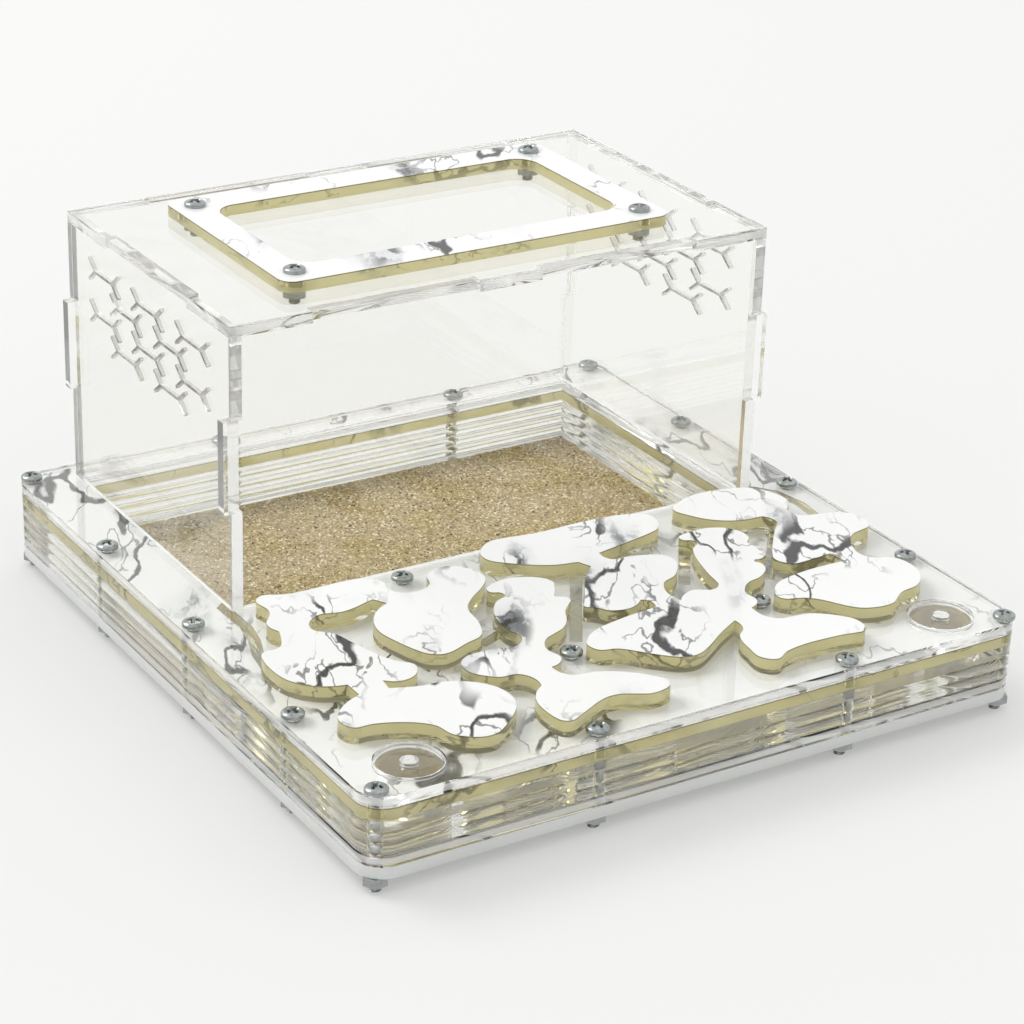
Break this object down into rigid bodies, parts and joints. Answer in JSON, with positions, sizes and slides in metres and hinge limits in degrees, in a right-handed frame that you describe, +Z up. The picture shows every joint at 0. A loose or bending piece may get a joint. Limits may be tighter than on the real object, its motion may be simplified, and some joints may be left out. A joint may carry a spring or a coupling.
{
  "type": "ant habitat",
  "caption": "Table-top ant nest of bolted clear acrylic sheets with a marble-print top, loose chamber covers, and a clear vented feeding box with a lift-off roof.",
  "frame": {"origin": "centre of the plates' footprint, on the surface that the screw ends stand on", "axes": "+Z up, +Y from the nest's front edge to the feeding box at the back, +X to the right seen from the front"},
  "size_m": [0.184, 0.194, 0.1035],
  "materials": {
    "clear_acrylic": "polished, clear, with bright laser-cut edges",
    "white_acrylic": "milky white, glossy",
    "marble_acrylic": "translucent golden yellow with a white and grey marble print on top",
    "steel": "plain bright zinc",
    "sand": "loose grains"
  },
  "bodies": {
    "nest_base": {"base_plate": "white_acrylic", "nest_layer_1": "clear_acrylic", "nest_layer_2": "clear_acrylic", "nest_layer_3": "clear_acrylic", "nest_layer_4": "clear_acrylic", "decor_plate": "marble_acrylic", "cover_plate": "clear_acrylic", "base_screws": "steel", "base_nuts": "steel", "sand": "sand", "front_wall": "clear_acrylic", "rear_wall": "clear_acrylic", "left_wall": "clear_acrylic", "right_wall": "clear_acrylic"},
    "roof_lid": {"roof_panel": "clear_acrylic", "roof_frame": "marble_acrylic", "roof_screws": "steel", "roof_nuts": "steel"},
    "cover_1": {"chamber_cover_1": "marble_acrylic"},
    "cover_2": {"chamber_cover_2": "marble_acrylic"},
    "cover_3": {"chamber_cover_3": "marble_acrylic"},
    "cover_4": {"chamber_cover_4": "marble_acrylic"},
    "port_left": {"port_lid_left": "clear_acrylic"},
    "port_right": {"port_lid_right": "clear_acrylic"}
  },
  "joints": [
    {"name": "roof_lift", "type": "slide", "parent": "nest_base", "child": "roof_lid", "axis": [0, 0, 1], "range_m": [0, 0.05]},
    {"name": "cover_1_lift", "type": "slide", "parent": "nest_base", "child": "cover_1", "axis": [0, 0, 1], "range_m": [0, 0.03]},
    {"name": "cover_2_lift", "type": "slide", "parent": "nest_base", "child": "cover_2", "axis": [0, 0, 1], "range_m": [0, 0.03]},
    {"name": "cover_3_lift", "type": "slide", "parent": "nest_base", "child": "cover_3", "axis": [0, 0, 1], "range_m": [0, 0.03]},
    {"name": "cover_4_lift", "type": "slide", "parent": "nest_base", "child": "cover_4", "axis": [0, 0, 1], "range_m": [0, 0.03]},
    {"name": "port_left_lift", "type": "slide", "parent": "nest_base", "child": "port_left", "axis": [0, 0, 1], "range_m": [0, 0.02]},
    {"name": "port_right_lift", "type": "slide", "parent": "nest_base", "child": "port_right", "axis": [0, 0, 1], "range_m": [0, 0.02]}
  ]
}
